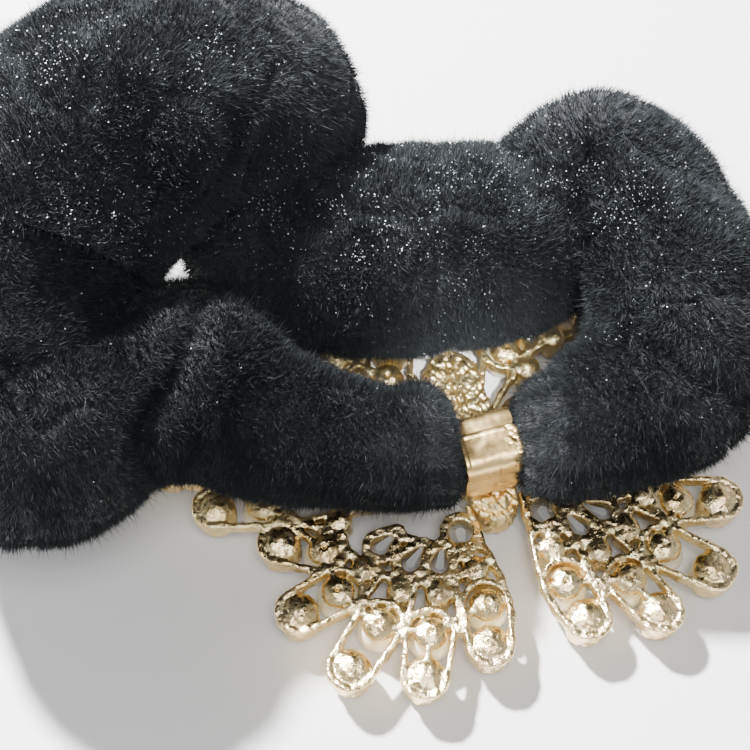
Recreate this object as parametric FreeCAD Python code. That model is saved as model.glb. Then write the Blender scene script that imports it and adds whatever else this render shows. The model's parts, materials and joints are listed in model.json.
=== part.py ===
"""A velvet hair scrunchie that carries an openwork cast ornament with pearls and rhinestones.

The ornament lies face down: the fronts of its pearls and stones are at z = 0 and its back faces +Z.
The origin is under the strap that holds the scrunchie, X runs along the ornament's wingspan and +Y
towards its upper wings.  All sizes are in millimetres.
"""
import FreeCAD
import Part
import math
import os

V = FreeCAD.Vector

# ---- driving dimensions -------------------------------------------------------------------------
FRAME_FRONT = 4.2          # the cast openwork lies between these two heights
FRAME_BACK = 6.3
WIRE = 0.8                 # width of the cast wires
PETAL_TIP_R = 3.3          # outer radius of a petal's loop round its stone
PETAL_ROOT_R = 3.6         # and round its pearl
SPOKE = 0.8
BAND = 1.3                 # width of the curved bands that the small stones hang from
PEAR_WALL = 0.6
PEAR_TIP = 0.7

PEARL_R = 3.0
PEARL_CUP_R = 2.3
PEARL_CUP_TOP = 6.9
CUP_HOLE_R = 0.45
CUP_HOLE_FLOOR = 6.3
HUB_HOLE_X = 0.3

# round stones: radius of the table and girdle, height of the table and of the point behind
SMALL_STONE = dict(table=0.9, girdle=1.5, front=1.0, point=3.7)
TIP_STONE = dict(table=1.4, girdle=2.2, front=0.5, point=4.4)
HUB_STONE = dict(table=1.2, girdle=1.8, front=0.5, point=4.0)
CENTRE_STONE = dict(table=2.5, girdle=3.0, front=0.0, point=4.6)
GIRDLE = 0.3
# pear stones: height, then the outline's size there as a share of the cell
PEAR_LEVELS = [(1.3, 0.62), (2.4, 1.0), (2.8, 1.0), (5.7, 0.3)]

CUP_LIP = 0.8              # a cup starts this far behind its stone's table
SMALL_CUP_R = 1.9
SMALL_CUP_TOP = 6.7
TIP_CUP_R = 2.8
TIP_CUP_TOP = 6.8
HUB_CUP_R = 3.3
HUB_CUP_TOP = 7.0
CENTRE_CUP_R = 3.9
DOME_RISE = 0.42           # height of a cup's rounded back, as a share of its radius

SPINE_ROOT_R = 4.6         # outer radius of the centre casting under the strap, at its waist and top
SPINE_WAIST_R = 4.2
SPINE_TOP_R = 3.4
HUB_Y = -4.9
WAIST_Y = 8.0
SPINE_TOP_Y = 15.9
SPINE_BACK = 6.5
RIB_WIDTH = 0.9
RIB_HEIGHT = 0.8
RIB_START_Y = 5.0
RIB_END_Y = 17.4

STRAP_WIDTH = 8.3
STRAP_HALF = 4.6           # outer half length in Y
STRAP_SHEET = 0.8
STRAP_TOP = 15.9
STRAP_BEND = 1.8
TONGUE_STEP = 0.7          # the near tongue lies this much higher, over the far one
TONGUE_LENGTH = 3.9
PAST = 1.0                 # cutting shapes run this far past what they cut

WALL = 2.0                 # pile fabric of the scrunchie
NECK_BORE_MIN = 2.75       # room left inside the gathered fabric for the elastic
ELASTIC_WIDTH = 4.6
ELASTIC_SHEET = 0.9
JOINT_GAP = 0.3            # between pieces on different bodies

CUFF_LENGTH = 0.8          # straight round cuff of the fabric where the ring turns on the ornament
HINGE_POINT = V(0, -0.9, 17)
HINGE_ANGLE = math.radians(-11.3)
ALONG = V(math.cos(HINGE_ANGLE), math.sin(HINGE_ANGLE), 0)
AWAY = V(-ALONG.y, ALONG.x, 0)
UP = V(0, 0, 1)

# ---- the plan of one wing, drawn for the right-hand side ------------------------------------------
# each petal: centre of the stone at its tip, centre of the pearl at its root
LOWER_PETALS = [
    ((6.9, -24.8), (5.7, -19.3)),
    ((16.6, -26.6), (14.2, -21.1)),
    ((25.8, -22.9), (20.5, -18.0)),
    ((30.5, -13.4), (24.6, -12.0)),
    ((30.4, -3.0), (24.8, -5.6)),
]
UPPER_PETALS = [
    ((37.9, 4.6), (31.4, 3.2)),
    ((42.5, 13.0), (35.9, 10.6)),
    ((41.6, 22.6), (35.4, 18.0)),
    ((34.6, 29.8), (30.2, 24.2)),
    ((24.8, 32.6), (22.8, 26.4)),
    ((14.6, 29.8), (15.2, 23.3)),
    ((7.0, 23.2), (9.0, 17.6)),
]
# open-backed pear cells: centre of the round end, its radius, then the point
LOWER_PEARS = [
    ((6.0, -8.3), 2.3, (6.4, -11.6)),
    ((10.2, -12.2), 1.9, (9.0, -9.6)),
    ((14.0, -10.8), 1.9, (11.6, -8.9)),
    ((17.4, -7.4), 1.9, (14.6, -6.0)),
]
UPPER_PEARS = [
    ((9.4, 5.2), 2.3, (6.0, 3.4)),
    ((12.9, 10.0), 2.1, (9.6, 7.8)),
    ((18.0, 11.2), 2.1, (15.8, 7.8)),
    ((22.9, 9.6), 2.1, (19.6, 7.0)),
    ((24.2, 4.6), 2.1, (20.4, 3.4)),
]
LOWER_BEADS = [(20.3, -9.8), (16.4, -14.2), (11.5, -16.0), (5.6, -14.0), (21.8, -2.0)]
UPPER_BEADS = [(29.9, 8.6), (27.6, 14.6), (22.4, 17.6), (16.6, 17.8), (11.2, 13.8)]
# curved bands, each an arc through three points
BANDS = [
    ((22.8, -4.4), (15.6, -12.9), (3.3, -13.2)),
    ((15.4, -5.6), (9.8, -9.3), (3.4, -11.0)),
    ((27.4, -0.6), (27.2, 12.6), (8.4, 13.0)),
    ((17.2, -1.4), (16.8, 6.4), (4.2, 6.4)),
]
# the wire that borders the gap between the lower wings, as a chain of points
BORDER = [(3.9, -5.2), (3.4, -11.2), (2.6, -16.2), (2.8, -21.8), (4.4, -26.0)]
SPOKES = [
    ((18.6, -11.6), (22.6, -15.0)),
    ((14.6, -14.8), (17.6, -20.4)),
    ((8.9, -15.4), (10.2, -22.2)),
    ((22.8, -4.4), (27.4, -0.6)),
    ((4.0, -2.6), (17.2, -1.4)),
    ((17.2, -1.4), (27.4, -0.6)),
    ((27.4, -8.6), (22.0, -7.4)),
    ((29.2, 6.0), (33.6, 7.6)),
    ((28.6, 10.6), (35.2, 15.6)),
    ((25.4, 15.6), (32.4, 22.4)),
    ((19.4, 17.6), (26.2, 26.0)),
    ((13.6, 16.6), (18.6, 25.0)),
    ((8.6, 12.6), (11.4, 20.4)),
    ((4.0, 8.6), (8.4, 13.0)),
    ((4.0, 13.2), (5.6, 17.4)),
    ((16.6, -26.6), (14.2, -21.1)),
]
SPINE_PAIRS = [6.5, 9.7, 12.9, 16.1]
SPINE_PAIR_X = 2.15

# ---- the scrunchie: centre and radius of its sections, from the strap round the ring ---------------
NECK = [
    (-7.1, 0.4, 15.8, 7.9),
    (-6.0, 0.2, 14.0, 6.0),
    (-5.1, 0.0, 11.25, 3.5),
    (5.1, 0.0, 11.25, 3.5),
    (6.0, -0.7, 14.0, 6.0),
    (7.1, -1.6, 15.8, 7.9),
]
NECK_END = 9.0
NECK_END_R = 9.0
NEAR_LEFT = [
    (-14.6, 2.4, 18.0, 10.2),
    (-23.2, 6.2, 18.7, 11.3),
    (-33.0, 9.6, 19.6, 11.0),
    (-43.0, 8.8, 22.0, 11.0),
    (-54.4, 10.6, 25.2, 12.2),
]
LEFT_SPLIT = (-60.0, 22.0, 29.0, 13.2)
FAR_LEFT = [
    (-55.5, 32.5, 33.0, 15.5),
    (-42.0, 46.0, 36.0, 15.6),
    (-27.0, 51.6, 34.0, 16.6),
]
LEFT_SEAM = (-16.0, 44.8, 28.0, 15.2)
FAR_MIDDLE = [
    (-9.4, 35.2, 24.0, 13.2),
    (-2.6, 29.4, 21.6, 13.0),
    (5.6, 27.6, 21.0, 12.6),
]
RIGHT_SEAM = (14.0, 27.6, 21.4, 12.3)
FAR_RIGHT = [
    (24.6, 29.2, 23.0, 14.2),
    (32.2, 22.6, 24.0, 14.4),
]
RIGHT_SPLIT = (34.0, 14.0, 24.0, 14.4)
NEAR_RIGHT = [
    (32.6, 6.0, 23.0, 13.8),
    (25.8, -1.0, 20.6, 12.8),
    (17.6, -2.6, 18.4, 11.0),
]


def save(name, shape):
    shape.exportStep("parts/" + name + ".step")


def mirrored(shape):
    return shape.mirror(V(0, 0, 0), V(1, 0, 0))


def both_sides(name, shape):
    """Write a right-hand shape and its mirror image."""
    save(name + "_right", shape)
    save(name + "_left", mirrored(shape))


# ---- flat outlines -------------------------------------------------------------------------------
def capsule_wire(c1, r1, c2, r2, z):
    """The outline round two circles, with the straight sides tangent to both."""
    a = V(c1[0], c1[1], z)
    b = V(c2[0], c2[1], z)
    forward = (b - a).normalize()
    side = V(-forward.y, forward.x, 0)
    lean = math.acos((r1 - r2) / (b - a).Length)
    left = forward * math.cos(lean) + side * math.sin(lean)
    right = forward * math.cos(lean) - side * math.sin(lean)
    edges = [
        Part.LineSegment(a + right * r1, b + right * r2).toShape(),
        Part.Arc(b + right * r2, b + forward * r2, b + left * r2).toShape(),
        Part.LineSegment(b + left * r2, a + left * r1).toShape(),
        Part.Arc(a + left * r1, a - forward * r1, a + right * r1).toShape(),
    ]
    return Part.Wire(edges)


def capsule(c1, r1, c2, r2):
    return Part.Face(capsule_wire(c1, r1, c2, r2, FRAME_FRONT))


def loop(c1, r1, c2, r2, width):
    """A closed loop of wire of the given width."""
    return capsule(c1, r1, c2, r2).cut(capsule(c1, r1 - width, c2, r2 - width))


def bar(p, q, width):
    return capsule(p, width / 2, q, width / 2)


def band(p, through, q, width):
    """A curved strip of even width along the arc through three points."""
    points = [V(*point, FRAME_FRONT) for point in (p, through, q)]
    circle = Part.Circle(*points)
    edges = []
    for radius in (circle.Radius + width / 2, circle.Radius - width / 2):
        ends = [circle.Center + (point - circle.Center).normalize() * radius for point in points]
        edges.append(Part.Arc(*ends).toShape())
    outer, inner = edges
    caps = [Part.LineSegment(outer.Vertexes[i].Point, inner.Vertexes[i].Point).toShape() for i in (0, -1)]
    return Part.Face(Part.Wire(Part.__sortEdges__([outer, inner] + caps)))


def disc(centre, radius):
    return Part.Face(Part.Wire(Part.Circle(V(*centre, FRAME_FRONT), UP, radius).toShape()))


# ---- turned shapes -------------------------------------------------------------------------------
def turned(outline, centre):
    """Revolve an (r, z) outline about the vertical line through centre."""
    points = [V(r, 0, z) for r, z in outline]
    solid = Part.Face(Part.makePolygon(points + points[:1])).revolve(V(0, 0, 0), UP, 360)
    return solid.translated(V(*centre, 0))


def brilliant(size, centre):
    """A round stone: flat table in front, girdle, and a point behind."""
    crown = size["front"] + (size["girdle"] - size["table"])
    outline = [(0, size["front"]), (size["table"], size["front"]), (size["girdle"], crown),
               (size["girdle"], crown + GIRDLE), (0, size["point"])]
    return turned(outline, centre)


def brilliants(size, centres):
    return Part.makeCompound([brilliant(size, centre) for centre in centres])


def dome(centre, radius, low, top):
    """A round cup with a straight wall and a spherical back, still solid."""
    rise = radius * DOME_RISE
    ball = (radius ** 2 + rise ** 2) / (2 * rise)
    wall = Part.makeCylinder(radius, top - low, V(*centre, low))
    return wall.common(Part.makeSphere(ball, V(*centre, top - ball)))


def cup(centre, radius, stone, top):
    return dome(centre, radius, stone["front"] + CUP_LIP, top)


def cup_hole(x, y):
    return Part.makeCylinder(CUP_HOLE_R, PAST, V(x, y, CUP_HOLE_FLOOR))


def pearl(centre):
    return Part.makeSphere(PEARL_R, V(*centre, PEARL_R))


def pear_stone(centre, radius, point):
    """A pear-shaped stone in an open cell: table, girdle and a flat little face behind."""
    rings = [capsule_wire(centre, radius * share, point, PEAR_TIP * share, z) for z, share in PEAR_LEVELS]
    return Part.makeLoft(rings, True, True)


def spine_pairs():
    return [(side * SPINE_PAIR_X, y) for y in SPINE_PAIRS for side in (-1, 1)]


# ---- the cast wings ------------------------------------------------------------------------------
def wing():
    petals = LOWER_PETALS + UPPER_PETALS
    pears = LOWER_PEARS + UPPER_PEARS
    beads = LOWER_BEADS + UPPER_BEADS
    tips = [tip for tip, root in petals]
    roots = [root for tip, root in petals]
    outlines = [
        [loop(tip, PETAL_TIP_R, root, PETAL_ROOT_R, WIRE) for tip, root in petals],
        [bar(p, q, SPOKE) for p, q in zip(roots, roots[1:])],
        [band(*points, BAND) for points in BANDS],
        [bar(p, q, SPOKE) for p, q in SPOKES],
        [bar(p, q, WIRE) for p, q in zip(BORDER, BORDER[1:])],
        [loop(c, r + PEAR_WALL, p, PEAR_TIP + PEAR_WALL, 2 * PEAR_WALL) for c, r, p in pears],
    ]
    groups = [[face.extrude(V(0, 0, FRAME_BACK - FRAME_FRONT)) for face in faces] for faces in outlines]
    groups += [
        [dome(c, PEARL_CUP_R, FRAME_FRONT, PEARL_CUP_TOP) for c in roots],
        [cup(c, TIP_CUP_R, TIP_STONE, TIP_CUP_TOP) for c in tips],
        [cup(c, SMALL_CUP_R, SMALL_STONE, SMALL_CUP_TOP) for c in beads],
    ]
    solid = groups[0][0].multiFuse(groups[0][1:])
    for group in groups[1:]:
        solid = solid.multiFuse(group)
    seats = [
        [pearl(c) for c in roots],
        [cup_hole(*c) for c in roots],
        [brilliant(TIP_STONE, c) for c in tips],
        [brilliant(SMALL_STONE, c) for c in beads],
        [pear_stone(*cell) for cell in pears],
        [spine_plan().extrude(V(0, 0, FRAME_BACK + PAST)).translated(V(0, 0, -FRAME_FRONT))],
    ]
    for group in seats:
        solid = solid.cut(group)
    return solid


# ---- the centre casting ----------------------------------------------------------------------------
def spine_plan():
    """Its outline: a round hub, then two tapering lengths."""
    parts = [
        disc((0, HUB_Y), HUB_CUP_R),
        capsule((0, 0), SPINE_ROOT_R, (0, WAIST_Y), SPINE_WAIST_R),
        capsule((0, WAIST_Y), SPINE_WAIST_R, (0, SPINE_TOP_Y), SPINE_TOP_R),
    ]
    return parts[0].multiFuse(parts[1:])


def spine():
    front = CENTRE_STONE["front"] + CUP_LIP
    rib_front = SPINE_BACK - PAST
    solid = spine_plan().extrude(V(0, 0, SPINE_BACK - FRAME_FRONT)).multiFuse([
        cup((0, HUB_Y), HUB_CUP_R, HUB_STONE, HUB_CUP_TOP),
        Part.makeCylinder(CENTRE_CUP_R, FRAME_BACK - front, V(0, 0, front)),
        Part.makeBox(RIB_WIDTH, RIB_END_Y - RIB_START_Y, RIB_HEIGHT + PAST,
                     V(-RIB_WIDTH / 2, RIB_START_Y, rib_front)),
        *[cup(c, SMALL_CUP_R, SMALL_STONE, SMALL_CUP_TOP) for c in spine_pairs()],
    ])
    strap_seat = Part.makeBox(STRAP_WIDTH, 2 * STRAP_HALF, PAST, V(-STRAP_WIDTH / 2, -STRAP_HALF, SPINE_BACK))
    return solid.cut([
        brilliant(HUB_STONE, (0, HUB_Y)),
        brilliant(CENTRE_STONE, (0, 0)),
        *[brilliant(SMALL_STONE, c) for c in spine_pairs()],
        cup_hole(HUB_HOLE_X, HUB_Y),
        strap_seat,
    ]).removeSplitter()


# ---- the folded strap ------------------------------------------------------------------------------
def rounded_block(half, low, high, radius):
    """A block as wide as the strap whose long edges are rounded at the back."""
    block = Part.makeBox(STRAP_WIDTH, 2 * half, high - low, V(-STRAP_WIDTH / 2, -half, low))
    edges = [e for e in block.Edges if e.BoundBox.XLength > half and e.CenterOfMass.z > low + radius]
    return block.makeFillet(radius, edges)


def strap():
    low = SPINE_BACK
    outer = rounded_block(STRAP_HALF, low, STRAP_TOP, STRAP_BEND)
    inner = rounded_block(STRAP_HALF - STRAP_SHEET, low + STRAP_SHEET, STRAP_TOP - STRAP_SHEET,
                          STRAP_BEND - STRAP_SHEET)
    raised = rounded_block(STRAP_HALF, low, STRAP_TOP + TONGUE_STEP, STRAP_BEND)
    near = Part.makeBox(STRAP_WIDTH, TONGUE_LENGTH, 2 * STRAP_BEND,
                        V(-STRAP_WIDTH / 2, -STRAP_HALF, STRAP_TOP + TONGUE_STEP - 2 * STRAP_BEND))
    return outer.fuse(raised.common(near)).cut(inner).removeSplitter()


# ---- the scrunchie ---------------------------------------------------------------------------------
def ring_section(x, y, z, radius, normal):
    circle = Part.Circle(V(x, y, z), normal, radius)
    circle.XAxis = (UP - normal * UP.dot(normal)).normalize()
    return Part.Wire(circle.toShape())


def strip_section(x, y, z, normal):
    """A flat elastic standing on edge, square to the path."""
    centre = V(x, y, z)
    high = (UP - normal * UP.dot(normal)).normalize() * (ELASTIC_WIDTH / 2)
    wide = high.cross(normal).normalize() * (ELASTIC_SHEET / 2)
    corners = [centre + high + wide, centre + high - wide, centre - high - wide, centre - high + wide]
    return Part.makePolygon(corners + corners[:1])


def directions(path, first, last):
    """The path's direction at each section; the first and last are given."""
    points = [V(*p[:3]) for p in path]
    inner = [(b - a).normalize() for a, b in zip(points, points[2:])]
    return [first] + inner + [last]


def tube(path, normals):
    """A hollow fabric tube with flat open ends."""
    outside = [ring_section(x, y, z, r, n) for (x, y, z, r), n in zip(path, normals)]
    bores = [max(r - WALL, NECK_BORE_MIN) for x, y, z, r in path]
    inside = [ring_section(x, y, z, b, n) for (x, y, z, r), b, n in zip(path, bores, normals)]
    return Part.makeLoft(outside, True, True).cut(Part.makeLoft(inside, True, True))


def elastic(path, normals):
    return Part.makeLoft([strip_section(*p[:3], n) for p, n in zip(path, normals)], True, True)


def on_hinge(distance, radius):
    point = HINGE_POINT + ALONG * distance
    return (point.x, point.y, point.z, radius)


def cuff(distance, bore):
    """A short straight length of the fabric tube, round about the hinge line."""
    start = HINGE_POINT + ALONG * distance
    outside = Part.makeCylinder(NECK_END_R, CUFF_LENGTH, start, ALONG)
    return outside.cut(Part.makeCylinder(bore, CUFF_LENGTH, start, ALONG))


def shifted(section, direction, distance):
    x, y, z, r = section
    return (x + direction.x * distance, y + direction.y * distance, z + direction.z * distance, r)


def scrunchie():
    half = JOINT_GAP / 2
    cuff_start = NECK_END - CUFF_LENGTH
    neck_fabric = [on_hinge(-cuff_start, NECK_END_R)] + NECK + [on_hinge(cuff_start, NECK_END_R)]
    neck_elastic = [on_hinge(-NECK_END, NECK_END_R)] + NECK + [on_hinge(NECK_END, NECK_END_R)]
    start_left = on_hinge(-NECK_END - JOINT_GAP, NECK_END_R)
    start_right = on_hinge(NECK_END + JOINT_GAP, NECK_END_R)
    near_left = [start_left] + NEAR_LEFT + [shifted(LEFT_SPLIT, AWAY, -half)]
    near_right = [shifted(RIGHT_SPLIT, AWAY, -half)] + NEAR_RIGHT + [start_right]
    far_left = [shifted(LEFT_SPLIT, AWAY, half)] + FAR_LEFT + [LEFT_SEAM]
    far_middle = [LEFT_SEAM] + FAR_MIDDLE + [RIGHT_SEAM]
    far_right = [RIGHT_SEAM] + FAR_RIGHT + [shifted(RIGHT_SPLIT, AWAY, half)]
    left_turn = (V(*FAR_MIDDLE[0][:3]) - V(*FAR_LEFT[-1][:3])).normalize()
    right_turn = (V(*FAR_RIGHT[0][:3]) - V(*FAR_MIDDLE[-1][:3])).normalize()
    runs = [
        ("near_left", near_left, ALONG * -1, AWAY),
        ("near_right", near_right, AWAY * -1, ALONG * -1),
        ("far_left", far_left, AWAY, left_turn),
        ("far_middle", far_middle, left_turn, right_turn),
        ("far_right", far_right, right_turn, AWAY * -1),
    ]
    for name, path, first, last in runs:
        normals = directions(path, first, last)
        save("velvet_" + name, tube(path, normals))
        save("elastic_" + name, elastic(path, normals))
    straight = [ALONG] * len(neck_fabric)
    cuffs = [cuff(distance, NECK_END_R - WALL) for distance in (-NECK_END, cuff_start)]
    save("velvet_neck", tube(neck_fabric, straight).multiFuse(cuffs))
    save("elastic_neck", elastic(neck_elastic, straight))


def main():
    os.makedirs("parts", exist_ok=True)
    both_sides("wing", wing())
    save("spine", spine())
    save("strap", strap())
    for row, petals in (("lower", LOWER_PETALS), ("upper", UPPER_PETALS)):
        both_sides("pearls_" + row, Part.makeCompound([pearl(root) for tip, root in petals]))
        both_sides("tip_stones_" + row, brilliants(TIP_STONE, [tip for tip, root in petals]))
    both_sides("pear_stones", Part.makeCompound([pear_stone(*cell) for cell in LOWER_PEARS + UPPER_PEARS]))
    both_sides("small_stones", brilliants(SMALL_STONE, LOWER_BEADS + UPPER_BEADS))
    save("spine_stones", brilliants(SMALL_STONE, spine_pairs()))
    save("hub_stone", brilliant(HUB_STONE, (0, HUB_Y)))
    save("centre_stone", brilliant(CENTRE_STONE, (0, 0)))
    scrunchie()


if __name__ == "__main__":
    main()
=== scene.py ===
"""Looks of a black velvet scrunchie strapped to the back of a gold openwork wing ornament.

Everything is in the CAD frame, in metres: the ornament lies face down on z = 0, X along its wingspan,
+Y towards its upper wings.  The tables and constants of the velvet and the strap are in millimetres.
"""

import json
import math

import bmesh
import bpy
import numpy as np
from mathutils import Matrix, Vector


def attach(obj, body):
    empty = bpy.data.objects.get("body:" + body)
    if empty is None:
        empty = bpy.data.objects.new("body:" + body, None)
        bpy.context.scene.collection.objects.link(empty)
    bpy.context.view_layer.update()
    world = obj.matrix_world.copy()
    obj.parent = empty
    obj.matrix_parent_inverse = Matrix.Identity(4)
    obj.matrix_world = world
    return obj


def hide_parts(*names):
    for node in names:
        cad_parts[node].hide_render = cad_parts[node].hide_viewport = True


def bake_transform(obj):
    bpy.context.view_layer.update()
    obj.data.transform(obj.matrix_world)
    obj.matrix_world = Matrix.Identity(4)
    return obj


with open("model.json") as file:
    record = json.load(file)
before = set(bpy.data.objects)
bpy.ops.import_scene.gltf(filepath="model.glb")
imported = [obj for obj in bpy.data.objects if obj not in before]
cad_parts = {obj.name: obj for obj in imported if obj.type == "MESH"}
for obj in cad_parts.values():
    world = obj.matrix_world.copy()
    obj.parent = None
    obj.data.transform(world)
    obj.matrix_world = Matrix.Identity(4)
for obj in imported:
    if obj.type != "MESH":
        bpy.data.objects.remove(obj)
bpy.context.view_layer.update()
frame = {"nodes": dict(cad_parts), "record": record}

MM = 0.001
JOINTS = {joint["name"]: joint for joint in frame["record"]["behaviour"]["joints"]}
HINGE = JOINTS["ring_roll"]
SLIDE = JOINTS["ring_stretch"]
AWAY = np.array(SLIDE["axis"], float)
ALONG = np.array(HINGE["axis"], float)
UP = np.array([0.0, 0.0, 1.0])


# ---- materials ---------------------------------------------------------------------------------
# the stretch of a noise's values over which a colour or a roughness goes from low to high
COLOR_SPAN = (0.35, 0.65)
ROUGHNESS_SPAN = (0.3, 0.7)


def principled(name, color, roughness, metallic=0.0, **sockets):
    """A new material with the given numbers on its Principled shader."""
    mat = bpy.data.materials.new(name)
    mat.use_nodes = True
    shader = mat.node_tree.nodes["Principled BSDF"]
    shader.inputs["Base Color"].default_value = (*color, 1)
    shader.inputs["Roughness"].default_value = roughness
    shader.inputs["Metallic"].default_value = metallic
    for socket, value in sockets.items():
        shader.inputs[socket.replace("_", " ")].default_value = value
    return mat


def noise_node(mat, scale, detail=4.0):
    """A noise texture in the object's own coordinates, with this many features to the metre."""
    nodes, links = mat.node_tree.nodes, mat.node_tree.links
    place = nodes.new("ShaderNodeTexCoord")
    noise = nodes.new("ShaderNodeTexNoise")
    noise.inputs["Scale"].default_value = scale
    noise.inputs["Detail"].default_value = detail
    links.new(place.outputs["Object"], noise.inputs["Vector"])
    return noise


def vary_color(mat, scale, low, high, detail=4.0):
    """Base colour wanders between two colours."""
    nodes, links = mat.node_tree.nodes, mat.node_tree.links
    ramp = nodes.new("ShaderNodeValToRGB")
    for element, position, color in zip(ramp.color_ramp.elements, COLOR_SPAN, (low, high)):
        element.position = position
        element.color = (*color, 1)
    links.new(noise_node(mat, scale, detail).outputs["Fac"], ramp.inputs["Fac"])
    links.new(ramp.outputs["Color"], nodes["Principled BSDF"].inputs["Base Color"])


def vary_roughness(mat, scale, low, high):
    """Roughness wanders between two values."""
    nodes, links = mat.node_tree.nodes, mat.node_tree.links
    span = nodes.new("ShaderNodeMapRange")
    for socket, value in zip(("From Min", "From Max", "To Min", "To Max"), (*ROUGHNESS_SPAN, low, high)):
        span.inputs[socket].default_value = value
    links.new(noise_node(mat, scale).outputs["Fac"], span.inputs["Value"])
    links.new(span.outputs["Result"], nodes["Principled BSDF"].inputs["Roughness"])


def bump(mat, scale, strength, depth, detail=6.0):
    """Fine unevenness, with its depth in metres."""
    nodes, links = mat.node_tree.nodes, mat.node_tree.links
    node = nodes.new("ShaderNodeBump")
    node.inputs["Strength"].default_value = strength
    node.inputs["Distance"].default_value = depth
    links.new(noise_node(mat, scale, detail).outputs["Fac"], node.inputs["Height"])
    links.new(node.outputs["Normal"], nodes["Principled BSDF"].inputs["Normal"])


def gold_materials():
    """Polished and grainy cast gold, and the strap's smoother, browner gold."""
    gold = principled("cast_gold", (0.98, 0.80, 0.50), 0.25, metallic=1.0)
    vary_color(gold, 420, (1.0, 0.83, 0.47), (0.88, 0.64, 0.30))
    vary_roughness(gold, 900, 0.14, 0.36)
    bump(gold, 1300, 0.8, 0.0003)
    grainy = principled("grainy_gold", (1.0, 0.80, 0.42), 0.35, metallic=1.0)
    vary_color(grainy, 900, (1.0, 0.84, 0.48), (0.90, 0.66, 0.28))
    vary_roughness(grainy, 1500, 0.25, 0.5)
    bump(grainy, 2600, 0.7, 0.0002)
    strap = principled("strap_gold", (0.94, 0.72, 0.44), 0.3, metallic=1.0)
    vary_color(strap, 160, (0.76, 0.53, 0.24), (0.56, 0.38, 0.15))
    vary_roughness(strap, 500, 0.24, 0.40)
    bump(strap, 900, 0.2, 0.0001)
    return {"gold": gold, "grainy": grainy, "strap": strap}


def stone_materials():
    """Cream lacquered pearls and clear stones."""
    pearl = principled("pearl_lacquer", (0.86, 0.80, 0.58), 0.22, Coat_Weight=0.6, Coat_Roughness=0.08,
                       Sheen_Weight=0.3, Sheen_Roughness=0.4)
    vary_color(pearl, 260, (0.90, 0.85, 0.66), (0.80, 0.74, 0.50), 2.0)
    crystal = principled("clear_stone", (0.90, 0.92, 0.94), 0.06, Transmission_Weight=0.6, IOR=1.55)
    bump(crystal, 600, 0.05, 0.0001, 1.0)
    return {"pearl": pearl, "crystal": crystal}


def fabric_materials():
    """The velvet's woven ground, its fibres in painted shade, plain and in painted sheen, its flakes of
    painted glint, and the elastic.
    """
    ground = principled("velvet_ground", (0.006, 0.007, 0.009), 0.9, Sheen_Weight=0.2, Sheen_Roughness=0.5)
    vary_color(ground, 700, (0.004, 0.005, 0.006), (0.012, 0.014, 0.018))
    woven = principled("woven_elastic", (0.02, 0.02, 0.022), 0.7)
    vary_color(woven, 2500, (0.012, 0.012, 0.014), (0.04, 0.04, 0.045))
    bump(woven, 2500, 0.6, 0.0002)
    return {
        "ground": ground,
        # the darkest fibres are painted shade, the paler ones painted sheen, and the glimmer and glint flakes
        # painted glints
        "painted_shade": principled("velvet_pile_painted_shade", (0.013, 0.0155, 0.017), 0.85, Specular_IOR_Level=0.2),
        "pile": principled("velvet_pile", (0.028, 0.032, 0.035), 0.85, Specular_IOR_Level=0.2),
        "sheen": principled("velvet_pile_painted_sheen", (0.044, 0.050, 0.054), 0.8, Specular_IOR_Level=0.25),
        "glimmer": principled("velvet_pile_painted_glimmer", (0.24, 0.26, 0.28), 0.45, metallic=0.2),
        "glint": principled("velvet_pile_painted_glint", (0.46, 0.49, 0.52), 0.4, metallic=0.3),
        "elastic": woven,
    }


MAT = {**gold_materials(), **stone_materials(), **fabric_materials()}


# ---- helpers -----------------------------------------------------------------------------------
WAVES = 12                     # sine waves in one smooth noise
WAVE_SPREAD = (0.6, 1.6)       # shortest and longest of them, as shares of the wavelength asked for
WAVE_PEAK = 1.6                # how far their sum usually goes, in standard deviations


def wander(points, wavelength, seed):
    """Smooth noise between about -1 and 1 at each point, the same on every run."""
    rng = np.random.default_rng(seed)
    directions = rng.normal(size=(WAVES, 3))
    directions /= np.linalg.norm(directions, axis=1)[:, None]
    lengths = wavelength * rng.uniform(*WAVE_SPREAD, WAVES)
    phases = rng.uniform(0, 2 * math.pi, WAVES)
    total = np.zeros(len(points))
    for d, length, phase in zip(directions, lengths, phases):
        total += np.sin(points @ d * (2 * math.pi / length) + phase)
    return total / math.sqrt(WAVES / 2) / WAVE_PEAK


def layered(points, layers):
    """A sum of smooth noises, each given by its wavelength, seed and height."""
    return sum(height * wander(points, wavelength, seed) for wavelength, seed, height in layers)


def unit(vectors):
    """The same directions with length 1."""
    return vectors / np.maximum(np.linalg.norm(vectors, axis=-1, keepdims=True), 1e-12)


def smooth_step(share):
    """From 0 to 1 with level ends, as share goes from 0 to 1."""
    share = np.clip(share, 0, 1)
    return share * share * (3 - 2 * share)


def hump(distance, width):
    """1 where the distance is 0, falling to nothing over about twice the width."""
    return np.exp(-(distance / width) ** 2)


def add_object(name, data):
    """A new object in the scene."""
    obj = bpy.data.objects.new(name, data)
    bpy.context.scene.collection.objects.link(obj)
    return obj


def mesh_object(name, points, faces, materials, smooth=True, material_index=None):
    """A new mesh object from arrays: points in metres, faces all with the same number of corners."""
    faces = np.asarray(faces, np.int32)
    mesh = bpy.data.meshes.new(name)
    mesh.vertices.add(len(points))
    mesh.vertices.foreach_set("co", np.asarray(points, np.float32).ravel())
    mesh.loops.add(faces.size)
    mesh.loops.foreach_set("vertex_index", faces.ravel())
    mesh.polygons.add(len(faces))
    mesh.polygons.foreach_set("loop_start", np.arange(len(faces), dtype=np.int32) * faces.shape[1])
    mesh.polygons.foreach_set("use_smooth", np.full(len(faces), smooth))
    for mat in materials:
        mesh.materials.append(mat)
    if material_index is not None:
        mesh.polygons.foreach_set("material_index", np.asarray(material_index, np.int32))
    mesh.update(calc_edges=True)
    return add_object(name, mesh)


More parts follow.
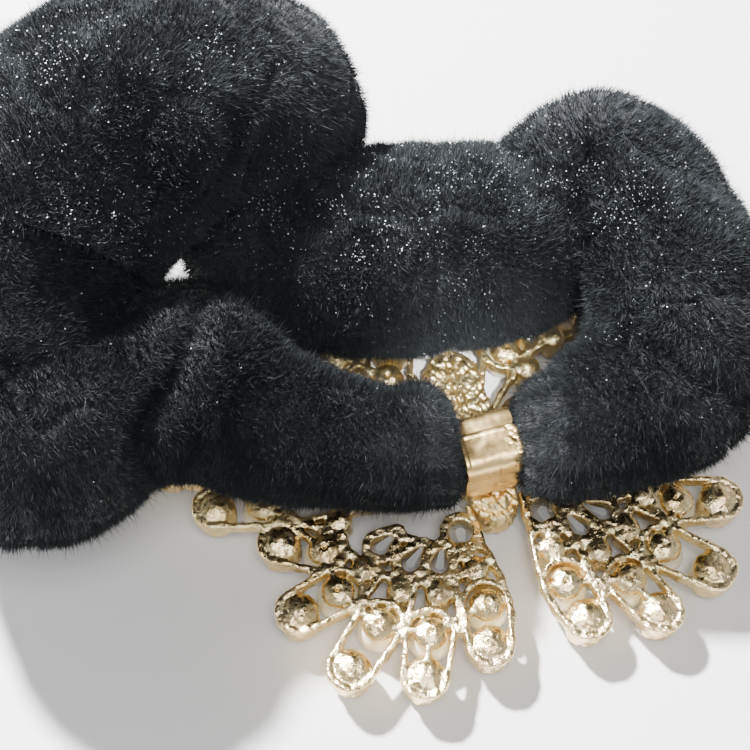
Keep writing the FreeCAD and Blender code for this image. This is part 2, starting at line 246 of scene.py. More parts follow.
def grid_faces(rows, columns, closed):
    """Quads between neighbouring rows of points; a closed grid joins its last column to its first."""
    i = np.arange(rows - 1)[:, None] * columns
    j = np.arange(columns if closed else columns - 1)[None, :]
    k = (j + 1) % columns
    return np.stack([i + j, i + k, i + columns + k, i + columns + j], axis=-1).reshape(-1, 4)


def vertex_values(mesh, attribute):
    """A vector attribute of every vertex, as rows of three."""
    values = np.empty(len(mesh.vertices) * 3, np.float32)
    mesh.vertices.foreach_get(attribute, values)
    return values.reshape(-1, 3)


def paint(obj, mat):
    """This material alone on the object."""
    obj.data.materials.clear()
    obj.data.materials.append(mat)


# ---- the ring's centre line ----------------------------------------------------------------------
# x, y, z and radius of the velvet tube, from the strap leftwards and round to the strap again
RING = [
    (-4.3, 0, 11.3, 3.6), (-5.2, 0.2, 13.6, 6.2), (-6.9, 0.5, 15.6, 7.4), (-8.83, 0.86, 17, 7.9),
    (-14.8, 1.6, 17.6, 7.8), (-19.7, 3.9, 18, 8.6), (-24.6, 6.5, 18.4, 9.5), (-30.6, 10.8, 19.6, 11.1),
    (-34.9, 14.7, 21.4, 13.1), (-40.1, 15.7, 23.6, 12.6), (-48.2, 12.9, 25.2, 11.5), (-55.1, 10.6, 27, 13.4),
    (-62, 12.9, 28, 13.8), (-61.3, 22, 29.2, 15.3), (-56.3, 30.2, 32, 16.5), (-50, 40.2, 35, 17.2),
    (-40.2, 48.2, 36.4, 18.1), (-29.4, 50.4, 36.4, 17.7), (-20.3, 49, 34.2, 15.5),
    (-20.3, 42.5, 28.5, 12.5), (-22.1, 35.1, 23, 11.2), (-16.9, 31.3, 21.4, 12.5), (-10, 29.8, 21, 13.7),
    (-3, 28.3, 21.2, 14.2), (4.4, 27.4, 21, 13.8), (11.3, 26.3, 21, 12.9), (17.2, 26.8, 21.8, 11.3),
    (24.5, 30.3, 23, 13.3), (28.3, 22.9, 23.8, 12.5), (30, 13.8, 23.4, 12.7), (29.3, 6.3, 22.4, 12.8),
    (24.2, -0.4, 20.6, 11.9), (16.8, -2.2, 18.6, 10.3), (8.83, -2.66, 17, 8.3), (6.9, -1.8, 15.6, 7.6),
    (5.2, -0.6, 13.6, 6.2), (4.3, 0, 11.3, 3.6),
]
THICKEST = 18.2            # the tube's largest radius, with a little to spare
STEP = 0.7                 # between sections along the tube
AROUND = 112               # points round each section
TANGENT_PASSES = 4         # of smoothing
# the cover bends from the near body to the far one between these distances along the stretch axis,
# and its sections are square to that axis there
LEFT_ZONE = (9.0, 19.0)
RIGHT_ZONE = (12.0, 23.0)
OUTER_LEFT_X = -50         # the left bend of the ring lies beyond this
OUTER_RIGHT_X = 22         # and the right one beyond this
# the ring's own cover starts at the first distance along the roll axis, and sections are square to
# that axis up to the second, so that the roll turns one cover against the other in a plane
NECK_END = 9.0
STRAIGHT_NECK = 9.4
STRAP_SIDE_Y = 5           # the ring's lengths at the strap lie below this
TURN_LENGTH = 4.0          # the way over which sections turn square to an axis

# pleats where the strap gathers the cover
PLEATS = 9                 # round the tube
PLEAT_DEPTH = 0.13         # as a share of the radius
PLEAT_REACH = 7.0          # the length over which they die away
PLEAT_DRIFT = 0.25         # how far they shift along a millimetre of the tube, in radians of one pleat
PLEAT_UNEVEN = 1.6         # how much some are wider than others
LOOSE_FROM = 7             # lumps and creases start at this length from the strap
LOOSE_OVER = 12            # and are full after this much more
LUMPS = ((21.0, 5, 0.035), (9.0, 6, 0.02))     # wavelength, seed, and depth as a share of the radius
CREASE_WAVELENGTH = 17.0
CREASE_SEED = 7
CREASE_FROM = 0.80
CREASE_DEPTH = 0.32
# grooves where one fold of the fabric meets the next: points along the groove, its depth and half width
GROOVES = [
    ([(-32.7, 22.1, 34.3), (-38.3, 11.4, 35.6), (-44, 5.8, 33.9), (-45.8, 1.9, 32), (-44.4, 1, 26)],
     2.4, 1.8),
    ([(-7.5, 39.2, 33.5), (-16, 33.5, 35.8), (-24, 32.8, 35), (-32.7, 33, 28.5)], 1.8, 1.8),
    ([(20.5, 4.4, 31.9), (22.3, -1, 32.5), (24.4, -4.9, 31.4), (32.6, -8.4, 25)], 1.6, 1.8),
]


def catmull(rows, samples_per_span=24):
    """A smooth curve through every row."""
    p = np.asarray(rows, float)
    p = np.vstack([2 * p[0] - p[1], p, 2 * p[-1] - p[-2]])
    out = []
    for a, b, c, d in zip(p, p[1:], p[2:], p[3:]):
        for s in np.linspace(0, 1, samples_per_span, endpoint=False):
            out.append(0.5 * (2 * b + (c - a) * s + (2 * a - 5 * b + 4 * c - d) * s ** 2
                              + (3 * b - a - 3 * c + d) * s ** 3))
    out.append(p[-2])
    return np.array(out)


def run_along(points):
    """The length from the first point to each point of a chain."""
    return np.r_[0, np.cumsum(np.linalg.norm(np.diff(points, axis=0), axis=1))]


def to_line(points, path):
    """Distance of each point from a chain of straight lines."""
    nearest = np.full(len(points), np.inf)
    path = np.asarray(path, float)
    for start, end in zip(path, path[1:]):
        way = end - start
        share = np.clip((points - start) @ way / (way @ way), 0, 1)
        nearest = np.minimum(nearest, np.linalg.norm(points - start - share[:, None] * way, axis=1))
    return nearest


def turned(tangent, direction, ease):
    """Tangents turned to a direction, not at all where ease is 0 and wholly where it is 1."""
    return unit(tangent * (1 - ease[:, None]) + direction * ease[:, None])


class Ring:
    """Sections of the velvet tube, evenly spaced along its length, in millimetres."""

    def __init__(self):
        dense = catmull(RING)
        run = run_along(dense[:, :3])
        self.length = run[-1]
        self.s = np.linspace(0, run[-1], int(run[-1] / STEP) + 1)
        self.line = np.stack([np.interp(self.s, run, column) for column in dense.T], axis=1)
        self.middle = self.line[:, :3]
        self.away = self.middle @ AWAY
        tangent = self.tangents()
        self.up = unit(UP - tangent * (tangent @ UP)[:, None])
        self.side = np.cross(tangent, self.up)

    def tangents(self):
        """Directions square to the sections: along the tube, the stretch axis or the roll axis."""
        tangent = unit(np.gradient(self.middle, axis=0))
        for _ in range(TANGENT_PASSES):
            tangent[1:-1] = unit(tangent[:-2] + tangent[1:-1] * 2 + tangent[2:])
        x, y, _ = self.middle.T
        bends = ((x < OUTER_LEFT_X, LEFT_ZONE, 1), (x > OUTER_RIGHT_X, RIGHT_ZONE, -1))
        for side, (low, high), sign in bends:
            inside = np.minimum(self.away - low + TURN_LENGTH, high + TURN_LENGTH - self.away)
            tangent = turned(tangent, AWAY * sign, np.where(side, smooth_step(inside / TURN_LENGTH), 0))
        inside = STRAIGHT_NECK + TURN_LENGTH - np.abs(self.middle @ ALONG)
        ease = np.where(y < STRAP_SIDE_Y, smooth_step(inside / TURN_LENGTH), 0)
        return turned(tangent, ALONG * np.sign(tangent @ ALONG)[:, None], ease)

    def rows(self, table, s):
        """Rows of a per-section table at the lengths s."""
        i = np.clip(s / self.s[1], 0, len(self.s) - 1.001)
        low = i.astype(int)
        part = (i - low)[:, None]
        return table[low] * (1 - part) + table[low + 1] * part

    def radius(self, s):
        """The plain tube's radius at the lengths s."""
        return self.rows(self.line, s)[:, 3]

    def surface(self, s, angle):
        """Points of the cover at lengths s and angles round the tube, and the way out from its middle."""
        line = self.rows(self.line, s)
        sideways, upwards = self.rows(self.side, s), self.rows(self.up, s)
        out = unit(sideways * np.cos(angle)[:, None] + upwards * np.sin(angle)[:, None])
        radius = line[:, 3] * (1 + self.folds(s, angle, line[:, :3] + out * line[:, 3:4]))
        return line[:, :3] + out * radius[:, None], out

    def folds(self, s, angle, points):
        """How much further out the cover is than the plain tube, as a share of the radius."""
        from_strap = np.minimum(s, self.length - s)
        gathered = np.exp(-from_strap / PLEAT_REACH) * PLEAT_DEPTH
        share = gathered * np.sin(PLEATS * angle + PLEAT_UNEVEN * np.sin(2 * angle) + s * PLEAT_DRIFT)
        loose = np.clip((from_strap - LOOSE_FROM) / LOOSE_OVER, 0, 1)
        for wavelength, seed, depth in LUMPS:
            share += wander(points, wavelength, seed) * depth * loose
        ridge = 1 - np.abs(wander(points, CREASE_WAVELENGTH, CREASE_SEED))
        share -= np.clip(ridge - CREASE_FROM, 0, 1) * CREASE_DEPTH * loose
        grooves = sum(-depth * hump(to_line(points, path), width) for path, depth, width in GROOVES)
        return share + grooves / self.radius(s)


RING_MODEL = Ring()


def crossing(level, first_half):
    """The length at which the centre line passes a distance along the stretch axis."""
    s, away = RING_MODEL.s, RING_MODEL.away
    half = (s < RING_MODEL.length / 2) == first_half
    change = np.where((np.diff(np.sign(away - level)) != 0) & half[:-1])[0]
    k = change[-1] if first_half else change[0]
    part = (level - away[k]) / (away[k + 1] - away[k])
    return s[k] + part * (s[k + 1] - s[k])


def neck_end(first):
    """The length at which the cover leaves the strap's neck, from the first end or from the last."""
    along = np.abs((RING_MODEL.middle - np.array(HINGE["pos_m"]) / MM) @ ALONG)
    order = range(len(along)) if first else range(len(along) - 1, -1, -1)
    return next(RING_MODEL.s[i] for i in order if along[i] >= NECK_END)


# ---- the velvet ----------------------------------------------------------------------------------
PILE_LENGTH = 1.4
LENGTH_SPREAD = (0.55, 1.10)       # shortest and longest fibre, as shares of that length
LENGTH_NOISE = ((4.0, 25, 0.06),)  # how it varies from place to place: wavelength, seed, height
PILE_WIDTH = 0.11
PILE_FOOT = 0.1                    # how deep a fibre stands in the ground
PILE_UNTIDY = 0.30                 # how far directions of neighbouring fibres differ
LOOSE_SHARE = 0.045                # of fibres that stick out
LOOSE_LENGTH = 1.9                 # times as long as the others
COMBED = 0.8                       # mean angle of the nap from the ring's direction
COMBED_NOISE = ((40.0, 21, 1.0),)
LEAN = 0.22                        # how far the nap leans over
LEAN_NOISE = ((14.0, 23, 0.20),)
# how much painted sheen and painted glints the pile gets, and how little painted shade, at lengths along the
# ring in millimetres: low on the near lengths, full on the far lobes
PAINTED_LIGHT_ALONG_RING = ([0, 60, 82, 100, 205, 228, 257], [0.02, 0.10, 0.30, 1.0, 1.0, 0.35, 0.05])
PATCH_NOISE = ((12.0, 31, 1.0), (3.6, 32, 0.8))    # patches of painted sheen and painted glints
LIT_FIBRES = (0.40, 0.26)          # the share of paler fibres, painted sheen, where the painted light level is full: mean and spread over the patches
PAINTED_SHADE_FIBRES = 0.92                 # the share of darkest fibres, painted shade, where the painted light level is low
FLAKE = 0.18                       # size of a flake of painted glint
FLAKE_SPREAD = (0.5, 1.3)          # smallest and largest, as shares of it
FLAKE_HALF = 0.6                   # half its width, as a share of its height
FLAKE_PLACE = 0.93                 # its place along its fibre
FLAKE_TILT = 0.5                   # how far it may turn from lying flat on the nap
GLINT_FLAKES_EVERYWHERE = 0.010          # the share of fibres with a flake of painted glint where the painted light level is full
GLINT_FLAKES_FACING_UP = 0.065          # and how much more in patches that face up towards the lamps
LIGHT_LEVEL_POWER = 1.5                   # how fast painted glints grow fewer where the painted light level is lower
PATCH_EDGE = -0.1                  # a patch is where its noise is above this
PATCH_TOP = 1.3                    # and counts no more than this
FACING_UP = 0.1                    # faces up, where painted glints gather: the least upward part of the normal
GLINTS = 0.3                       # the share of painted glint flakes that are the brightest
THREAD_ROWS = 1.35                 # distance between the rows that the painted glint flakes lie in
ROW_LEVELS = (0.45, 1.1)           # flakes between the rows, and how many more on them
ROW_SHARPNESS = 8
FIBRES_PER_MM2 = 50.0
MOST_FIBRES = 186000               # in one piece
SPARE_TRIES = 1.9                  # places tried for each fibre, as thin parts of the tube take fewer
SLOPE_ALONG = 0.5                  # steps for measuring the cover's slope: millimetres along the tube
SLOPE_ROUND = 0.04                 # and radians round it
AREA_SAMPLES = 20                  # of the radius, for a piece's area
FAR_PIECES = "abcde"
FIRST_SEED = 100                   # of the pile; each piece takes the next one
# a cover piece, and the CAD node it stands for
STANDS_FOR = {
    "velvet_neck_left": "velvet_neck", "velvet_near_left_a": "velvet_near_left",
    "velvet_near_right_a": "velvet_near_right", "velvet_far_b": "velvet_far_left",
    "velvet_far_c": "velvet_far_middle", "velvet_far_e": "velvet_far_right",
}
THREADS = ("pile", "sheen", "glint", "glimmer", "painted_shade")


def cover_mesh(name, low, high):
    """The woven ground of the velvet between two lengths along the ring."""
    rings = max(3, int(round((high - low) / STEP)) + 1)
    s = np.repeat(np.linspace(low, high, rings), AROUND)
    angle = np.tile(np.arange(AROUND) * 2 * math.pi / AROUND, rings)
    points, _ = RING_MODEL.surface(s, angle)
    return mesh_object(name, points * MM, grid_faces(rings, AROUND, closed=True), [MAT["ground"]])


def placed(low, high, count, rng):
    """Random places on the cover between two lengths, evenly spread over its area."""
    tries = int(count * SPARE_TRIES)
    s = rng.uniform(low, high, tries)
    angle = rng.uniform(0, 2 * math.pi, tries)
    keep = rng.uniform(0, THICKEST, tries) < RING_MODEL.radius(s)
    return s[keep][:count], angle[keep][:count]


def skin(s, angle):
    """Points on the cover with its normal and its lengthwise direction there."""
    root, out = RING_MODEL.surface(s, angle)
    ahead, _ = RING_MODEL.surface(s + SLOPE_ALONG, angle)
    around, _ = RING_MODEL.surface(s, angle + SLOPE_ROUND)
    along = unit(ahead - root)
    normal = unit(np.cross(ahead - root, around - root))
    normal *= np.sign(np.sum(normal * out, axis=1))[:, None]
    return root, normal, along


def fibre_ways(root, normal, along, rng):
    """Direction and length of each fibre: combed one way in patches, with some loose longer ones."""
    n = len(root)
    across = np.cross(normal, along)
    turn = COMBED + layered(root, COMBED_NOISE)
    lean = LEAN + layered(root, LEAN_NOISE)
    comb = along * np.cos(turn)[:, None] + across * np.sin(turn)[:, None]
    direction = unit(normal + comb * lean[:, None] + rng.normal(size=(n, 3)) * PILE_UNTIDY)
    length = PILE_LENGTH * rng.uniform(*LENGTH_SPREAD, n) * (1 + layered(root, LENGTH_NOISE))
    length = np.where(rng.uniform(size=n) < LOOSE_SHARE, length * LOOSE_LENGTH, length)
    return direction, length


def fibre_blades(root, normal, direction, length, rng):
    """Each fibre's three corners: two at its foot, one at its tip."""
    side = unit(np.cross(direction, rng.normal(size=(len(root), 3)))) * (PILE_WIDTH / 2)
    base = root - normal * PILE_FOOT
    return np.stack([base - side, base + side, root + direction * length[:, None]], axis=1)


def glint_flake_share(s, normal, patch, painted_light_level):
    """The share of fibres that carry a flake of painted glint: more where the painted light level is high, in
    patches that face up towards the lamps, and in rows.
    """
    rows = ROW_LEVELS[0] + ROW_LEVELS[1] * np.cos(math.pi * s / THREAD_ROWS) ** ROW_SHARPNESS
    patched = np.clip(patch - PATCH_EDGE, 0, PATCH_TOP) * np.clip(normal[:, 2] - FACING_UP, 0, 1)
    return painted_light_level ** LIGHT_LEVEL_POWER * rows * (GLINT_FLAKES_EVERYWHERE + GLINT_FLAKES_FACING_UP * patched)


def flake_corners(root, normal, direction, length, rng):
    """Three corners of each flake, near the tip of its fibre."""
    count = len(root)
    spin = rng.normal(size=(count, 3)) * FLAKE_TILT + normal
    first = unit(np.cross(spin, rng.normal(size=(count, 3))))
    second = unit(np.cross(spin, first))
    size = (FLAKE * rng.uniform(*FLAKE_SPREAD, count))[:, None]
    middle = root + direction * (length * FLAKE_PLACE)[:, None]
    side = first * size * FLAKE_HALF
    return np.stack([middle - side, middle + side, middle + second * size], axis=1)


def pile_mesh(name, low, high, count, seed):
    """Separate fibres standing on the ground as narrow blades, in painted shade, plain or in painted sheen,
    and flakes of painted glint at the tips of a few.
    """
    rng = np.random.default_rng(seed)
    s, angle = placed(low, high, count, rng)
    root, normal, along = skin(s, angle)
    direction, length = fibre_ways(root, normal, along, rng)
    blades = fibre_blades(root, normal, direction, length, rng)
    patch = layered(root, PATCH_NOISE)
    # painted light level: painted sheen and glints where it is high, painted shade where it is low
    painted_light_level = np.interp(s, *PAINTED_LIGHT_ALONG_RING)
    shade = rng.uniform(size=len(root))
    # paler fibres are painted sheen, in patches where the painted light level is high
    lit = shade < painted_light_level * (LIT_FIBRES[0] + LIT_FIBRES[1] * np.clip(patch, -1, 1))
    # the darkest fibres are painted shade, most of them on the near lengths
    painted_shade = shade > 1 - PAINTED_SHADE_FIBRES * (1 - painted_light_level)
    # flakes of painted glint near fibre tips, more in patches that face up
    bright = np.where(rng.uniform(size=len(root)) < glint_flake_share(s, normal, patch, painted_light_level))[0]
    flakes = flake_corners(root[bright], normal[bright], direction[bright], length[bright], rng)
    glint = rng.uniform(size=len(bright)) < GLINTS
    kind = THREADS.index
    fibre_kind = np.where(painted_shade, kind("painted_shade"), np.where(lit, kind("sheen"), kind("pile")))
    flake_kind = np.where(glint, kind("glint"), kind("glimmer"))
    points = np.vstack([blades.reshape(-1, 3), flakes.reshape(-1, 3)])
    faces = np.arange(len(points)).reshape(-1, 3)
    threads = [MAT[each] for each in THREADS]
    return mesh_object(name, points * MM, faces, threads, False, np.r_[fibre_kind, flake_kind])


def velvet_spans():
    """Name, first and last length, and body of each piece of the velvet, or None for one that lies between
    two bodies.
    """
    left_neck, right_neck = neck_end(True), neck_end(False)
    left = [crossing(level, True) for level in LEFT_ZONE]
    right = [crossing(level, False) for level in RIGHT_ZONE][::-1]
    far = np.linspace(left[1], right[0], len(FAR_PIECES) + 1)
    near_middle = (left_neck + left[0]) / 2
    return [
        ("velvet_neck_left", 0.0, left_neck, "ornament"),
        ("velvet_near_left_a", left_neck, near_middle, "ring_near"),
        ("velvet_near_left_b", near_middle, left[0], "ring_near"),
        ("velvet_bridge_left", left[0], left[1], None),
        *[("velvet_far_" + letter, start, stop, "ring_far")
          for letter, start, stop in zip(FAR_PIECES, far, far[1:])],
        ("velvet_bridge_right", right[0], right[1], None),
        ("velvet_near_right_a", right[1], right_neck, "ring_near"),
        ("velvet_neck_right", right_neck, RING_MODEL.length, "ornament"),
    ]


def velvet():
    """The cover and its pile, in lengths that ride on their bodies, and lengths between two bodies that are
    left fixed in place.
    """
    density = FIBRES_PER_MM2 * 1.0
    for number, (name, low, high, body) in enumerate(velvet_spans()):
        cover = cover_mesh(name, low, high)
        area = 2 * math.pi * RING_MODEL.radius(np.linspace(low, high, AREA_SAMPLES)).mean() * (high - low)
        count = min(int(area * density), MOST_FIBRES)
        pile = pile_mesh(name + "_pile", low, high, count, FIRST_SEED + number)
        for piece in (cover, pile):
            if body:
                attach(piece, body)
            else:
                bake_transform(piece)
        if name in STANDS_FOR:
            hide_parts(STANDS_FOR[name])


velvet()


# ---- the castings --------------------------------------------------------------------------------
WING_VOXEL = 0.24 * MM
SPINE_VOXEL = 0.2 * MM
WING_SPLIT = -1.0 * MM         # the level in Y between a lower wing and an upper one
# depth of the cast skin, and the wavelengths of its noise: the first at that depth, the next at half
WING_SKIN = (0.07, (1.9, 0.9))
SPINE_SKIN = (0.13, (1.0, 0.55))
WING_SEEDS = {"left": 40, "right": 50}
SPINE_SEED = 60


def remeshed(name, source, voxel):
    """A copy of an object with even, rounded faces."""
    obj = add_object(name, source.data.copy())
    even = obj.modifiers.new("even", "REMESH")
    even.mode = "VOXEL"
    even.voxel_size = voxel
    even.use_smooth_shade = True
    smooth = obj.modifiers.new("soft", "SMOOTH")
    smooth.factor = 0.5
    smooth.iterations = 2
    bpy.context.view_layer.update()
    graph = bpy.context.evaluated_depsgraph_get()
    final = bpy.data.meshes.new_from_object(obj.evaluated_get(graph))
    obj.modifiers.clear()
    obj.data = final
    return obj


def roughen(mesh, amount, wavelengths, seed):
    """Move each point along its normal, as the skin of a rough casting."""
    points = vertex_values(mesh, "co").astype(float)
    normals = vertex_values(mesh, "normal")
    shift = np.zeros(len(points))
    for k, wavelength in enumerate(wavelengths):
        shift += wander(points / MM, wavelength, seed + k) * amount / (k + 1)
    points += normals * (shift * MM)[:, None]
    mesh.vertices.foreach_set("co", points.astype(np.float32).ravel())
    mesh.update()


def split_by_height(obj, y, names):
    """Two objects from one: the faces below and above a level in Y."""
    parts = []
    for name, keep_low in zip(names, (True, False)):
        part = obj.copy()
        part.data = obj.data.copy()
        part.name = name
        bpy.context.scene.collection.objects.link(part)
        bm = bmesh.new()
        bm.from_mesh(part.data)
        gone = [f for f in bm.faces if (f.calc_center_median().y < y) != keep_low]
        bmesh.ops.delete(bm, geom=gone, context="FACES")
        bm.to_mesh(part.data)
        bm.free()
        parts.append(part)
    bpy.data.objects.remove(obj)
    return parts


def cast(piece, mat):
    """Finish a piece of the ornament's castings."""
    paint(piece, mat)
    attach(piece, "ornament")


def castings():
    """The wings, each as a polished lower and a grainy upper piece, and the spine between them."""
    for side, seed in WING_SEEDS.items():
        node = "wing_" + side
        whole = remeshed("casting_" + side, frame["nodes"][node], WING_VOXEL)
        roughen(whole.data, *WING_SKIN, seed)
        lower, upper = split_by_height(whole, WING_SPLIT, (node + "_lower", node + "_upper"))
        cast(lower, MAT["gold"])
        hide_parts(node)
        cast(upper, MAT["grainy"])
    centre = remeshed("spine_casting", frame["nodes"]["spine"], SPINE_VOXEL)
    roughen(centre.data, *SPINE_SKIN, SPINE_SEED)
    cast(centre, MAT["grainy"])
    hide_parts("spine")


castings()


# ---- strap ---------------------------------------------------------------------------------------
# the folded strip's middle line in Y and Z, from the end of its near tongue round to the far one
STRIP = [
    (0.75, 16.25), (-0.6, 16.3), (-2.2, 16.2), (-3.3, 15.9), (-4.05, 15.1), (-4.25, 13.9), (-4.2, 12.9),
    (-3.85, 12.3), (-3.75, 11.6), (-3.95, 10.4), (-4.15, 9.0), (-4.1, 7.8), (-3.4, 7.0), (-1.8, 6.9),
    (0.0, 6.9), (1.8, 6.9), (3.5, 7.0), (4.15, 7.9), (4.2, 9.8), (4.2, 12.0), (4.15, 13.9), (3.7, 15.0),
    (2.7, 15.5), (1.6, 15.55), (1.0, 15.5),
]
STRIP_HALF = 4.1               # half its width
STRIP_THICK = 0.75
STRIP_ROWS = 300
STRIP_COLUMNS = 56
STRIP_SAMPLES = 8              # of the curve between two points of its middle line
STRIP_CORNER = 1.1             # radius of its rounded corners
CORNER_CUT = 0.9               # how much of that round is cut off its width
STRIP_EDGE = 0.12              # width of the bevel on its edges
WAIST = (8.6, 1.0, 0.10)       # where it is narrower: distance from the near end, half length, depth
# the raised rim of the near tongue: height, distance from the border, half width
RIM = (0.20, 0.22, 0.20)
RIM_END = 5.2                  # it ends at this distance from the near end
RIM_FADE = 1.2                 # and fades over this length
RIM_RIGHT = 2.5                # to the right of this it is half as high
RAGGED = (3.2, 0.9, 0.18)      # the lumpy right edge: place in X, half width, height
RAGGED_END = 8.0
RAGGED_NOISE = (1.5, 72)       # wavelength, seed
SEAM = (0.6, 0.14, 0.16)       # a line down the front: place in X, half width, depth
SEAM_SPAN = (5.4, 7.6)
DENTS = ((4.6, 70, 0.035), (1.4, 71, 0.01))    # wavelength, seed, height


def strip_relief(flat, border, s):
    """How far the strip's surface stands out at each point: rim, dents, ragged edge and seam."""
    x = flat[:, 0]
    rim = RIM[0] * hump(border - RIM[1], RIM[2]) * np.clip((RIM_END - s) / RIM_FADE, 0, 1)
    rim *= np.where(x < RIM_RIGHT, 1.0, 0.5)
    lumps = np.clip(wander(flat, *RAGGED_NOISE), 0, 1) * (s < RAGGED_END)
    ragged = RAGGED[2] * lumps * hump(x - RAGGED[0], RAGGED[1])
    seam = SEAM[2] * hump(x - SEAM[0], SEAM[1]) * (s > SEAM_SPAN[0]) * (s < SEAM_SPAN[1])
    return rim + layered(flat, DENTS) + ragged - seam


def strap():
    """The folded strip as one bent sheet, with thickness and softened edges."""
    line = catmull(STRIP, STRIP_SAMPLES)
    run = run_along(line)
    s = np.linspace(0, run[-1], STRIP_ROWS)
    y, z = np.interp(s, run, line[:, 0]), np.interp(s, run, line[:, 1])
    along = unit(np.stack([np.gradient(y), np.gradient(z)], axis=1))
    outward = np.stack([np.zeros(STRIP_ROWS), along[:, 1], -along[:, 0]], axis=1)
    to_end = np.minimum(s, run[-1] - s)
    short = np.clip(STRIP_CORNER - to_end, 0, STRIP_CORNER)
    inset = STRIP_CORNER - np.sqrt(np.clip(STRIP_CORNER ** 2 - short ** 2, 0, None))
    half = STRIP_HALF - inset * CORNER_CUT - WAIST[2] * hump(s - WAIST[0], WAIST[1])
    x = half[:, None] * np.linspace(-1, 1, STRIP_COLUMNS)[None, :]
    border = np.minimum(half[:, None] - np.abs(x), to_end[:, None])
    flat = np.stack([x.ravel(), y.repeat(STRIP_COLUMNS), z.repeat(STRIP_COLUMNS)], axis=1)
    lift = strip_relief(flat, border.ravel(), s.repeat(STRIP_COLUMNS))
    points = flat + outward.repeat(STRIP_COLUMNS, axis=0) * lift[:, None]
    faces = grid_faces(STRIP_ROWS, STRIP_COLUMNS, closed=False)
    piece = mesh_object("strap_folded", points * MM, faces, [MAT["strap"]])
    solid = piece.modifiers.new("sheet", "SOLIDIFY")
    solid.thickness = STRIP_THICK * MM
    solid.offset = 0
    edge = piece.modifiers.new("edge", "BEVEL")
    edge.width = STRIP_EDGE * MM
    edge.segments = 2
    edge.limit_method = "ANGLE"
    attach(piece, "ornament")
    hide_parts("strap")


strap()


# ---- pearls, stones and elastic --------------------------------------------------------------------
for name, obj in frame["nodes"].items():
    if name.startswith("pearls"):
        paint(obj, MAT["pearl"])
    elif "stone" in name:
        paint(obj, MAT["crystal"])
    elif name.startswith("elastic"):
        paint(obj, MAT["elastic"])


# ---- floor, light, camera --------------------------------------------------------------------------
FLOOR_HALF = 0.9
FLOOR_DROP = 0.00002           # keeps the floor's face off the ornament's own lowest faces
# brightness of the room by the height looked at: 0 is the horizon and all below it, 1 is straight up
ROOM_STEPS = ((0.0, 1.0), (0.30, 1.45), (0.62, 1.0), (0.80, 0.30), (1.0, 0.22))
ROOM_BLUE = 1.02               # blue beside red and green
ROOM_STRENGTH = 0.52
LIGHT_AIM = Vector((-0.011, 0.016, 0.01))
LIGHT_DISTANCE = 0.6
# name, heading in X and Y, elevation in degrees, diameter in metres, watts
LIGHTS = (("key", (-0.47, 0.88), 50, 0.05, 27.0), ("fill", (-0.10, -0.99), 70, 0.26, 2.2))
CAMERA_AZIMUTH = -15.8
CAMERA_ELEVATION = 62.0
CAMERA_DISTANCE = 0.22
CAMERA_TARGET = Vector((-0.0113, 0.0165, 0.010))
CAMERA_LENS = 73.8
CAMERA_SENSOR = 36.0
CAMERA_NEAR = 0.005
SNOOT_TURN = 6                 # degrees of azimuth beside the camera
SNOOT_CONE = 3.8               # degrees across
SNOOT_BLEND = 0.7
SNOOT_RADIUS = 0.01
SNOOT_POWER = 24.0
SNOOT_TARGET = Vector((0.002, 0.0145, 0.004))
SNOOT_DISTANCE = 0.4


def view_direction(azimuth, elevation):
    """From the object towards a viewer at this azimuth and elevation in degrees."""
    azimuth, elevation = math.radians(azimuth), math.radians(elevation)
    return Vector((math.sin(azimuth) * math.cos(elevation), -math.cos(azimuth) * math.cos(elevation),
                   math.sin(elevation)))


def looking_at(name, data, target, way, distance):
    """A lamp or camera at a distance from its target, along the way to it."""
    obj = add_object(name, data)
    obj.location = target + way * distance
    obj.rotation_euler = way.to_track_quat("Z", "Y").to_euler()
    return obj


def add_floor():
    """A plain sheet of pale paper."""
    paper = principled("paper", (0.86, 0.86, 0.85), 0.85)
    vary_color(paper, 14, (0.84, 0.84, 0.83), (0.88, 0.88, 0.875))
    corners = [(x * FLOOR_HALF, y * FLOOR_HALF, -FLOOR_DROP) for x, y in ((-1, -1), (1, -1), (1, 1), (-1, 1))]
    mesh_object("floor", corners, [[0, 1, 2, 3]], [paper])


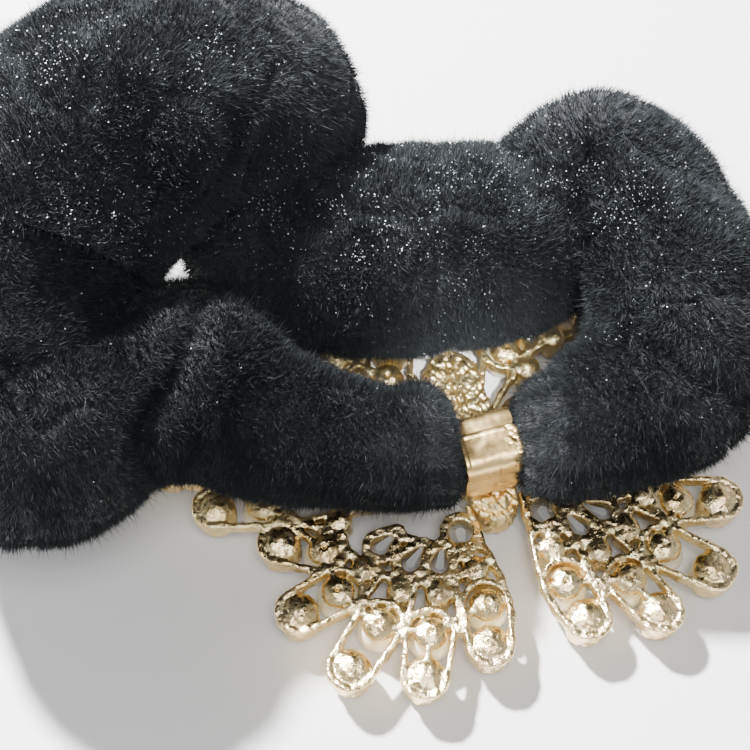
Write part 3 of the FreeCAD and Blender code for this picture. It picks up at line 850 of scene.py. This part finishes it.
def add_room():
    """Light all round: bright walls, and a dark ceiling."""
    world = bpy.data.worlds.new("room")
    bpy.context.scene.world = world
    world.use_nodes = True
    nodes, links = world.node_tree.nodes, world.node_tree.links
    place = nodes.new("ShaderNodeTexCoord")
    split = nodes.new("ShaderNodeSeparateXYZ")
    ramp = nodes.new("ShaderNodeValToRGB")
    while len(ramp.color_ramp.elements) < len(ROOM_STEPS):
        ramp.color_ramp.elements.new(0.5)
    for element, (position, level) in zip(ramp.color_ramp.elements, ROOM_STEPS):
        element.position = position
        element.color = (level, level, level * ROOM_BLUE, 1)
    links.new(place.outputs["Generated"], split.inputs["Vector"])
    links.new(split.outputs["Z"], ramp.inputs["Fac"])
    links.new(ramp.outputs["Color"], nodes["Background"].inputs["Color"])
    nodes["Background"].inputs["Strength"].default_value = ROOM_STRENGTH


def add_light(name, heading, elevation, size, power):
    """A round soft light aimed at the object's middle."""
    lamp = bpy.data.lights.new(name, "AREA")
    lamp.shape = "DISK"
    lamp.size = size
    lamp.energy = power
    level = math.cos(math.radians(elevation))
    way = Vector((heading[0] * level, heading[1] * level, math.sin(math.radians(elevation)))).normalized()
    looking_at(name, lamp, LIGHT_AIM, way, LIGHT_DISTANCE)


def add_snoot():
    """A narrow light down into the slit of the ring, onto the middle of the ornament."""
    lamp = bpy.data.lights.new("snoot", "SPOT")
    lamp.spot_size = math.radians(SNOOT_CONE)
    lamp.spot_blend = SNOOT_BLEND
    lamp.shadow_soft_size = SNOOT_RADIUS
    lamp.energy = SNOOT_POWER
    way = view_direction(CAMERA_AZIMUTH + SNOOT_TURN, CAMERA_ELEVATION)
    looking_at("snoot", lamp, SNOOT_TARGET, way, SNOOT_DISTANCE)


def add_camera():
    """The photograph's view."""
    data = bpy.data.cameras.new("camera")
    data.lens = CAMERA_LENS
    data.sensor_width = CAMERA_SENSOR
    data.clip_start = CAMERA_NEAR
    way = view_direction(CAMERA_AZIMUTH, CAMERA_ELEVATION)
    bpy.context.scene.camera = looking_at("camera", data, CAMERA_TARGET, way, CAMERA_DISTANCE)


add_floor()
add_room()
for light in LIGHTS:
    add_light(*light)
add_snoot()
add_camera()
